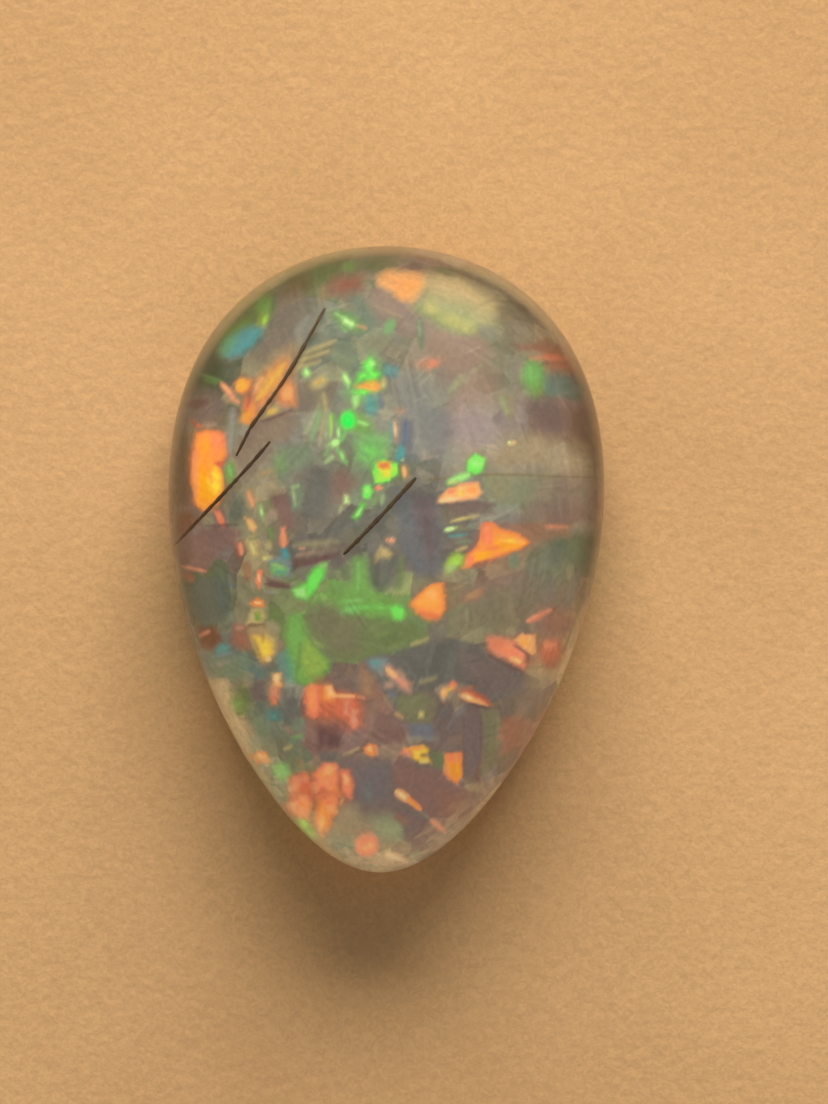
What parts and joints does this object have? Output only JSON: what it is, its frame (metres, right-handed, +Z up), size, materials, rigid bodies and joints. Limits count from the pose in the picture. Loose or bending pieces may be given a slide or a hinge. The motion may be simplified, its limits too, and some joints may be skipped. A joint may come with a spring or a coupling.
{
  "type": "opal cabochon",
  "caption": "Polished translucent opal cabochon with a pear outline, a domed crown and a flat base, showing a mosaic play of colour.",
  "frame": {"origin": "on the plane of the flat base, under the middle of the stone's length and width", "axes": "+Z up through the crown, +Y along the length towards the round end, +X across the width"},
  "size_m": [0.009, 0.013, 0.0042],
  "materials": {
    "opal": "polished"
  },
  "bodies": {
    "root": {"opal": "opal"}
  },
  "joints": []
}
